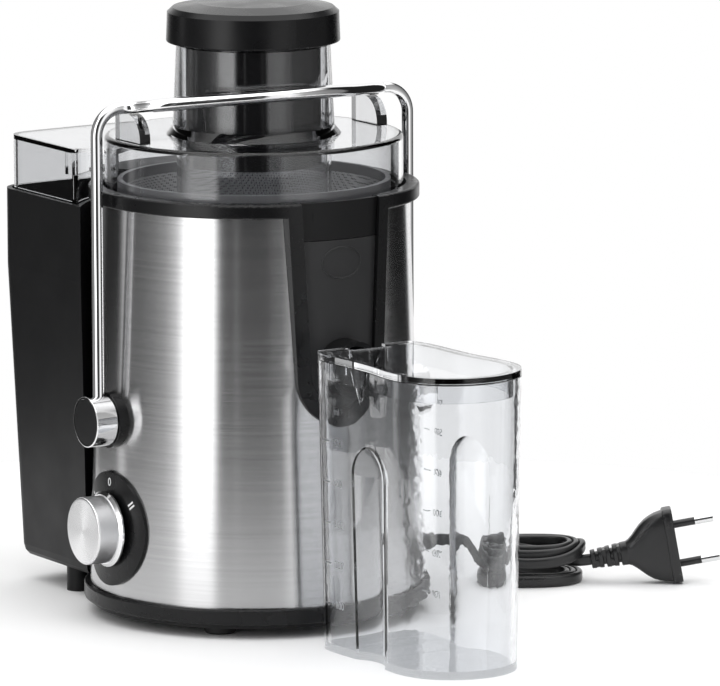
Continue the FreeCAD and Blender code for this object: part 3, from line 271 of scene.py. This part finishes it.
class Paint:
    """A node material, with helpers that add nodes and link their sockets by name or by index."""

    def __init__(self, name, **sockets):
        self.material = bpy.data.materials.new(name)
        self.material.use_nodes = True
        self.tree = self.material.node_tree
        self.shader = self.tree.nodes["Principled BSDF"]
        self.output = self.tree.nodes["Material Output"]
        for socket, value in sockets.items():
            self.shader.inputs[socket.replace("_", " ").title().replace("Ior", "IOR")].default_value = value
        self.place = self.add("ShaderNodeTexCoord").outputs["Object"]

    def add(self, kind, inputs=(), **settings):
        made = self.tree.nodes.new(kind)
        for name, value in settings.items():
            setattr(made, name, value)
        for key, value in dict(inputs).items():
            if isinstance(value, bpy.types.NodeSocket):
                self.tree.links.new(value, made.inputs[key])
            else:
                made.inputs[key].default_value = value
        return made

    def noise(self, scale, detail=2.0, stretch=(1, 1, 1), rough=0.5):
        spread = self.add("ShaderNodeMapping", {"Vector": self.place, "Scale": stretch})
        return self.add("ShaderNodeTexNoise", {"Vector": spread.outputs[0], "Scale": scale, "Detail": detail,
                                               "Roughness": rough}).outputs["Fac"]

    def span(self, value, low, high, source_low=0.3, source_high=0.7):
        return self.add("ShaderNodeMapRange", {"Value": value, "From Min": source_low, "From Max": source_high,
                                               "To Min": low, "To Max": high}).outputs["Result"]

    def blend(self, value, first, second):
        mix = self.add("ShaderNodeMix", {"Factor": value}, data_type="RGBA")
        mix.inputs[6].default_value = (*first, 1)
        mix.inputs[7].default_value = (*second, 1)
        return mix.outputs[2]

    def feed(self, socket, value):
        self.tree.links.new(value, self.shader.inputs[socket])

    def bump(self, value, strength, distance):
        made = self.add("ShaderNodeBump", {"Height": value, "Strength": strength, "Distance": distance})
        self.feed("Normal", made.outputs[0])


def plastic(name, dark, light, rough, spread, grain, strength, specular=0.5):
    """Moulded plastic with a fine grain and slightly uneven gloss."""
    paint = Paint(name, specular_ior_level=specular)
    cloud = paint.noise(35.0, 3.0)
    paint.feed("Base Color", paint.blend(cloud, dark, light))
    paint.feed("Roughness", paint.span(paint.noise(60.0, 4.0), rough - spread, rough + spread))
    paint.bump(paint.noise(grain, 2.0), strength, 0.00006)
    return paint.material


def steel(name, rough=0.22):
    """Steel brushed round the casing: fine lines round it and reflections drawn out upright."""
    paint = Paint(name, metallic=1.0, anisotropic=0.86, anisotropic_rotation=0.25)
    lines = paint.noise(1.0, 4.0, (16, 16, 2600), 0.65)
    wide_lines = paint.noise(1.0, 2.0, (7, 7, 900))
    mixed = paint.add("ShaderNodeMath", {0: lines, 1: wide_lines}, operation="ADD").outputs[0]
    shade = paint.span(mixed, 0.0, 1.0, 0.7, 1.3)
    paint.feed("Base Color", paint.blend(shade, (0.50, 0.50, 0.505), (0.57, 0.57, 0.575)))
    paint.feed("Roughness", paint.span(lines, rough - 0.02, rough + 0.03))
    round_it = paint.add("ShaderNodeVectorMath", {0: (0, 0, 1), 1: paint.place}, operation="CROSS_PRODUCT")
    paint.feed("Tangent", round_it.outputs[0])
    paint.bump(lines, 0.03, 0.00002)
    return paint.material


def chrome(name, rough=0.045, shade=0.80):
    paint = Paint(name, metallic=1.0)
    bright = (shade + 0.06, shade + 0.06, shade + 0.07)
    paint.feed("Base Color", paint.blend(paint.noise(40.0), (shade, shade, shade), bright))
    paint.feed("Roughness", paint.span(paint.noise(900.0, 3.0), rough - 0.02, rough + 0.03))
    return paint.material


def turned_metal(name):
    """Aluminium with a turned face, whose highlights spread as cones from the middle."""
    paint = Paint(name, metallic=1.0, anisotropic=0.85)
    tangent = paint.add("ShaderNodeTangent", direction_type="RADIAL", axis="Y")
    paint.feed("Tangent", tangent.outputs[0])
    from_middle = paint.add("ShaderNodeMapping", {"Vector": paint.place, "Location": (0, 0, -KNOB_Z * MM)})
    grooves = paint.add("ShaderNodeTexWave", {
        "Vector": from_middle.outputs[0], "Scale": 420.0, "Distortion": 0.6, "Detail": 2.0},
        wave_type="RINGS", rings_direction="Y").outputs["Fac"]
    paint.feed("Base Color", paint.blend(grooves, (0.74, 0.74, 0.745), (0.84, 0.84, 0.85)))
    paint.feed("Roughness", paint.span(grooves, 0.24, 0.34, 0.0, 1.0))
    paint.bump(grooves, 0.05, 0.00003)
    return paint.material


def clear(name, tint, rough=0.0):
    """Clear moulded plastic that lets lamps through."""
    paint = Paint(name, transmission_weight=1.0, ior=1.47, roughness=rough)
    light = tuple(min(1.0, value + 0.015) for value in tint)
    paint.feed("Base Color", paint.blend(paint.noise(20.0), tint, light))
    paint.bump(paint.noise(55.0, 2.0), 0.04, 0.0004)
    path = paint.add("ShaderNodeLightPath")
    through = paint.add("ShaderNodeBsdfTransparent", {"Color": (*tint, 1)})
    mix = paint.add("ShaderNodeMixShader", {0: path.outputs["Is Shadow Ray"], 1: paint.shader.outputs[0],
                                            2: through.outputs[0]})
    paint.tree.links.new(mix.outputs[0], paint.output.inputs["Surface"])
    return paint.material


def metal(name, low, high, rough, grain=300.0):
    paint = Paint(name, metallic=1.0)
    paint.feed("Base Color", paint.blend(paint.noise(grain, 4.0), low, high))
    paint.feed("Roughness", paint.span(paint.noise(grain * 2, 3.0), rough - 0.08, rough + 0.1))
    paint.bump(paint.noise(grain * 3, 2.0), 0.1, 0.00005)
    return paint.material


def windings(name):
    paint = Paint(name, metallic=1.0)
    wave = paint.add("ShaderNodeTexWave", {"Vector": paint.place, "Scale": 260.0, "Distortion": 1.2},
                     bands_direction="Z").outputs["Fac"]
    # The darker bands, in the grooves between the turns of wire, are painted shade; the same bands also set
    # roughness and bump.
    paint.feed("Base Color", paint.blend(wave, (0.30, 0.10, 0.03), (0.72, 0.34, 0.14)))
    paint.feed("Roughness", paint.span(wave, 0.25, 0.45, 0.0, 1.0))
    paint.bump(wave, 0.5, 0.0002)
    return paint.material


def mesh_metal(name):
    """Steel sheet with rows of tiny holes, as in a juicer's filter."""
    paint = Paint(name, metallic=1.0)
    cells = paint.add("ShaderNodeTexVoronoi", {"Vector": paint.place, "Scale": 900.0, "Randomness": 0.15})
    holes = cells.outputs["Distance"]
    sheet = paint.span(holes, 0.0, 1.0, 0.25, 0.4)
    paint.feed("Base Color", paint.blend(sheet, (0.02, 0.02, 0.02), (0.6, 0.6, 0.61)))
    paint.feed("Roughness", paint.span(holes, 0.6, 0.3, 0.2, 0.5))
    paint.bump(holes, 0.4, 0.0002)
    return paint.material


# Dark and light shade, roughness and its spread, scale and strength of the grain, and specular level.
PLASTICS = {
    "black_plastic": ((0.005, 0.005, 0.0055), (0.008, 0.008, 0.0085), 0.42, 0.05, 2600.0, 0.25, 0.22),
    "black_satin": ((0.004, 0.004, 0.0045), (0.007, 0.007, 0.0075), 0.28, 0.05, 1800.0, 0.12, 0.25),
    "black_gloss": ((0.004, 0.004, 0.0045), (0.007, 0.007, 0.0075), 0.09, 0.03, 500.0, 0.02),
    "grey_panel": ((0.022, 0.022, 0.023), (0.030, 0.030, 0.031), 0.40, 0.04, 3000.0, 0.2, 0.3),
    "grey_plastic": ((0.13, 0.13, 0.135), (0.17, 0.17, 0.175), 0.45, 0.05, 2200.0, 0.2),
    "white_plastic": ((0.62, 0.62, 0.60), (0.70, 0.70, 0.68), 0.45, 0.05, 2200.0, 0.15),
    "rubber": ((0.012, 0.012, 0.012), (0.02, 0.02, 0.02), 0.6, 0.08, 1800.0, 0.35),
    "lead_rubber": ((0.008, 0.008, 0.0085), (0.014, 0.014, 0.0145), 0.33, 0.06, 1500.0, 0.18),
    "carbon": ((0.02, 0.02, 0.02), (0.04, 0.04, 0.04), 0.7, 0.1, 2000.0, 0.4),
    "print": ((0.74, 0.74, 0.74), (0.82, 0.82, 0.82), 0.5, 0.05, 1500.0, 0.1),
}


def build_paints():
    made = {name: plastic(name, *values) for name, values in PLASTICS.items()}
    made.update({
        "steel": steel("steel"),
        "chrome": chrome("chrome"),
        "pin_metal": chrome("pin_metal", 0.16, 0.70),
        "knob_metal": turned_metal("knob_metal"),
        "clear_plastic": clear("clear_plastic", (0.90, 0.908, 0.92)),
        "scale_frost": clear("scale_frost", (0.72, 0.73, 0.75), 0.35),
        "clear_lid": clear("clear_lid", (0.80, 0.805, 0.815)),
        "filter_steel": mesh_metal("filter_steel"),
        "motor_steel": metal("motor_steel", (0.22, 0.22, 0.23), (0.34, 0.34, 0.35), 0.45),
        "bronze": metal("bronze", (0.42, 0.28, 0.13), (0.56, 0.40, 0.20), 0.4),
        "copper": windings("copper"),
    })
    return made


paints = build_paints()


def dress(thing, paint):
    thing.data.materials.clear()
    thing.data.materials.append(paints[paint])


slots = {entry["node"]: entry["material_slot"] for entry in frame["record"]["subparts"]}
for node, thing in frame["nodes"].items():
    dress(thing, slots[node])
dress(frame["nodes"]["spout_panel"], "grey_panel")
dress(frame["nodes"]["plug_pins"], "pin_metal")
dress(frame["nodes"]["button_inserts"], "black_plastic")
for node in ("lid", "lid_hood", "lid_lugs"):
    dress(frame["nodes"][node], "clear_lid")
dress(lead, "lead_rubber")
dress(plug, "lead_rubber")


# ---- marks ---------------------------------------------------------------------------------------

# The steel's radius at its foot with 0.05 added for the marks, the foot's height, the taper and the height.
STEEL_FOOT_R, STEEL_FOOT_Z, STEEL_TAPER, STEEL_TALL = 76.35, 11.0, 5.3, 179.8
# Thickness of the dial plate under the marks.
MARK_OUT = 1.5


def knob_mark(name, turn, strokes):
    """Strokes printed on the dial; turn is clockwise from the top, seen from the front."""
    bm = bmesh.new()
    c, s = math.cos(turn), math.sin(turn)
    for loop in strokes:
        rings = []
        for x, z in loop:
            wx, wz = x * c + z * s, -x * s + z * c + KNOB_Z
            skin = STEEL_FOOT_R - STEEL_TAPER * (wz - STEEL_FOOT_Z) / STEEL_TALL + MARK_OUT
            rings.append((wx, wz, skin))
        low = [bm.verts.new((x * MM, -math.sqrt(r * r - x * x) * MM, z * MM)) for x, z, r in rings]
        high = [bm.verts.new((x * MM, -math.sqrt((r + 0.06) ** 2 - x * x) * MM, z * MM)) for x, z, r in rings]
        count = len(low)
        bm.faces.new(high)
        bm.faces.new(low)
        for i in range(count):
            j = (i + 1) % count
            bm.faces.new((low[i], low[j], high[j], high[i]))
    mark = new_object(name, bm)
    dress(mark, "print")
    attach(mark, "machine")


def bar(x, z0, z1, half=0.42):
    return [(x - half, z0), (x + half, z0), (x + half, z1), (x - half, z1)]


def make_dial():
    inner, outer = 19.6, 23.4
    middle = (inner + outer) / 2
    swing = math.radians(53)
    half_x, half_z, hole_x, hole_z = 1.35, 1.9, 0.72, 1.25
    ring = []
    count = 20
    for i in range(count):
        a, b = 2 * math.pi * i / count, 2 * math.pi * (i + 1) / count
        ring.append([(half_x * math.sin(a), middle + half_z * math.cos(a)),
                     (half_x * math.sin(b), middle + half_z * math.cos(b)),
                     (hole_x * math.sin(b), middle + hole_z * math.cos(b)),
                     (hole_x * math.sin(a), middle + hole_z * math.cos(a))])
    knob_mark("mark_off", 0.0, ring)
    knob_mark("mark_one", -swing, [bar(0.0, inner, outer)])
    knob_mark("mark_two", swing, [bar(-0.85, inner, outer), bar(0.85, inner, outer)])


make_dial()


def make_oval():
    """Thin raised oval line on the spout panel."""
    bm = bmesh.new()
    turn = Matrix.Rotation(math.radians(3.0), 3, "Z")
    half_wide, half_tall, middle = 10.3, 7.1, 169.5
    panel_r, line_half, line_out = 73.4, 0.42, 0.36
    steps, sides = 72, 8
    rings = []
    for i in range(steps):
        angle = 2 * math.pi * i / steps
        along = Vector((half_wide * math.cos(angle), half_tall * math.sin(angle)))
        out = Vector((math.cos(angle), math.sin(angle)))
        ring = []
        for k in range(sides):
            spin = 2 * math.pi * k / sides
            spot = along + out * line_half * math.cos(spin)
            reach = math.sqrt(panel_r ** 2 - spot.x ** 2) + line_out * math.sin(spin)
            ring.append((turn @ Vector((reach, spot.x, middle + spot.y))) * MM)
        rings.append(ring)
    rings.append(rings[0])
    skin_rings(bm, rings, False)
    bmesh.ops.remove_doubles(bm, verts=bm.verts, dist=1e-7)
    oval = new_object("panel_oval", bm, 80)
    dress(oval, "grey_panel")
    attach(oval, "machine")


make_oval()


# The jug's place and turn as in the CAD, its draft over about its height, and the half width of the scale,
# which sits inside the wall.
JUG_X, JUG_Y, JUG_TURN = 94.0, 2.4, math.radians(2.5)
JUG_DRAFT, JUG_RIM = 2.0, 131.0
MARK_HALF, RELIEF = 27.2, 0.12


def jug_text(label, along, side, z, height):
    """Number on a long side of the jug, along millimetres from its flat end."""
    curve = bpy.data.curves.new("digits", "FONT")
    curve.body = label
    curve.size = height
    curve.align_x = "CENTER"
    curve.extrude = RELIEF
    curve.resolution_u = 3
    guide = bpy.data.objects.new("digits", curve)
    bpy.context.collection.objects.link(guide)
    bpy.context.view_layer.update()
    flat = bpy.data.meshes.new_from_object(guide)
    bpy.data.objects.remove(guide)
    bpy.data.curves.remove(curve)
    spots = [jug_spot(along - side * x, side, z + y, w) for x, y, w in (vertex.co for vertex in flat.vertices)]
    return [(spots, [tuple(face.vertices) for face in flat.polygons])]


def jug_bar(along, side, z, length):
    """Short level line of the scale."""
    half = length / 2
    outline = [(-half, -0.3), (half, -0.3), (half, 0.3), (-half, 0.3)]
    spots = [(x, y, w) for w in (-RELIEF, RELIEF) for x, y in outline]
    faces = [(0, 1, 2, 3), (7, 6, 5, 4), (0, 4, 5, 1), (1, 5, 6, 2), (2, 6, 7, 3), (3, 7, 4, 0)]
    return [([jug_spot(along + x, side, z + y, w) for x, y, w in spots], faces)]


def jug_spot(along, side, z, out):
    """Point in the jug's near or far wall, from millimetres along its length."""
    draft = JUG_DRAFT * (1 - z / JUG_RIM)
    widening = 1.4 * min(1.0, max(0.0, (along - 30) / 35))
    face = side * (MARK_HALF - draft + widening + out)
    return Vector((JUG_X + along * math.cos(JUG_TURN) - face * math.sin(JUG_TURN),
                   JUG_Y + along * math.sin(JUG_TURN) + face * math.cos(JUG_TURN), z)) * MM


def make_scale():
    """Marks and numbers of the jug's scale, frosted into both long sides."""
    parts = []
    along, first, pitch, digit = 19.0, 22.0, 18.5, 4.6
    labels = ("100", "200", "300", "400", "500")
    for side in (-1, 1):
        for step, label in enumerate(labels):
            z = first + pitch * step
            parts += jug_bar(along - 7.5, side, z, 5.0)
            parts += jug_text(label, along + 1.5, side, z - 1.6, digit)
        parts += jug_text("ml", along + 1.5, side, first + pitch * len(labels) - 6, digit)
    bm = bmesh.new()
    for spots, faces in parts:
        made = [bm.verts.new(spot) for spot in spots]
        for face in faces:
            bm.faces.new([made[i] for i in face])
    scale = new_object("jug_scale", bm)
    dress(scale, "scale_frost")
    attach(scale, "juice_jug")


make_scale()


# ---- studio --------------------------------------------------------------------------------------

def make_floor():
    bm = bmesh.new()
    bmesh.ops.create_circle(bm, cap_ends=True, segments=96, radius=0.40)
    floor = new_object("floor", bm)
    paint = Paint("floor_paint")
    paint.feed("Base Color", paint.blend(paint.noise(0.6, 3.0), (0.90, 0.90, 0.90), (0.915, 0.915, 0.915)))
    paint.feed("Roughness", paint.span(paint.noise(2.0), 0.85, 0.95))
    paint.shader.inputs["Specular IOR Level"].default_value = 0.1
    floor.data.materials.append(paint.material)


def make_world():
    """Soft boxes and dark cards round the object, as a function of direction; the camera sees plain white."""
    side_light, top_light = 3.0, 2.2
    world = bpy.data.worlds.new("studio")
    bpy.context.scene.world = world
    world.use_nodes = True
    tree = world.node_tree
    nodes, links = tree.nodes, tree.links

    def math_node(kind, first, second=0.0):
        made = nodes.new("ShaderNodeMath")
        made.operation = kind
        for index, value in enumerate((first, second)):
            if isinstance(value, bpy.types.NodeSocket):
                links.new(value, made.inputs[index])
            else:
                made.inputs[index].default_value = value
        return made.outputs[0]

    def dot(vector, axis):
        made = nodes.new("ShaderNodeVectorMath")
        made.operation = "DOT_PRODUCT"
        links.new(vector, made.inputs[0])
        made.inputs[1].default_value = axis
        return made.outputs["Value"]

    look = nodes.new("ShaderNodeTexCoord").outputs["Generated"]
    angle = math_node("ARCTAN2", dot(look, ACROSS), dot(look, -AWAY))
    share = math_node("ADD", math_node("DIVIDE", angle, 2 * math.pi), 0.5)
    ramp = nodes.new("ShaderNodeValToRGB")
    links.new(share, ramp.inputs[0])
    # Degrees round from the camera's side, towards the picture's right, and brightness.
    stops = [(-180, 0.36), (-162, 0.36), (-150, 0.06), (-140, 0.01), (-116, 0.01), (-112, 0.25),
             (-108, 0.25), (-103, 0.05), (-90, 0.06), (-79, 0.09), (-68, 0.15), (-58, 0.33),
             (-50, 0.95), (-31, 0.95), (-26, 0.02), (-15, 0.015), (-13, 0.10), (-11, 0.015),
             (10, 0.015), (14, 0.05), (18, 0.01), (24, 0.34), (44, 0.40), (60, 0.16), (100, 0.08),
             (112, 0.08), (118, 0.006), (150, 0.006), (155, 0.5), (162, 0.36), (180, 0.36)]
    elements = ramp.color_ramp.elements
    while len(elements) < len(stops):
        elements.new(0.5)
    for element, (degrees, value) in zip(elements, stops):
        element.position = degrees / 360 + 0.5
        element.color = (value, value, value, 1)
    height = dot(look, UP)
    overhead = nodes.new("ShaderNodeMapRange")
    overhead.interpolation_type = "SMOOTHSTEP"
    links.new(height, overhead.inputs["Value"])
    for name, value in (("From Min", 0.62), ("From Max", 0.86), ("To Min", 0.0), ("To Max", 1.0)):
        overhead.inputs[name].default_value = value
    sides = math_node("MULTIPLY", ramp.outputs[0], side_light)
    mix = nodes.new("ShaderNodeMix")
    mix.data_type = "FLOAT"
    links.new(overhead.outputs[0], mix.inputs[0])
    links.new(sides, mix.inputs[2])
    mix.inputs[3].default_value = top_light
    seen = nodes.new("ShaderNodeLightPath").outputs["Is Camera Ray"]
    plain = nodes.new("ShaderNodeMix")
    plain.data_type = "FLOAT"
    links.new(seen, plain.inputs[0])
    links.new(mix.outputs[0], plain.inputs[2])
    plain.inputs[3].default_value = 1.0
    background = nodes["Background"]
    background.inputs[0].default_value = (1, 1, 1, 1)
    links.new(plain.outputs[0], background.inputs[1])


make_floor()
make_world()
bpy.context.scene.view_settings.view_transform = "Standard"
